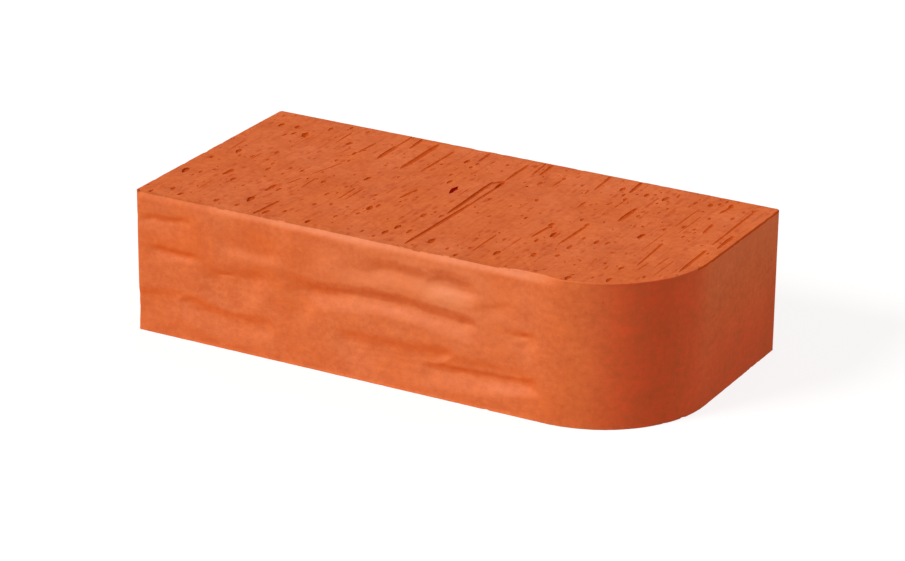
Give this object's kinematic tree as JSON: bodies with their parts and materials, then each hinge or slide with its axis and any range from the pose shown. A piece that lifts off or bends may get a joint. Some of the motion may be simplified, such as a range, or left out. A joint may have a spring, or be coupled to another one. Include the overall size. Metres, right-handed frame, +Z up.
{
  "type": "clay brick",
  "caption": "Solid fired-clay facing brick with wire-cut beds, a face with shallow rolled laps, and one upright corner rounded to a large radius.",
  "frame": {"origin": "centre of the bounding box's lower face, which is the lower bed", "axes": "+X along the length towards the rounded corner's end, -Y out of the rolled face, +Z up from the lower bed to the upper bed"},
  "size_m": [0.25, 0.12, 0.065],
  "materials": {
    "fired_clay": "matte"
  },
  "bodies": {
    "root": {"brick": "fired_clay"}
  },
  "joints": []
}
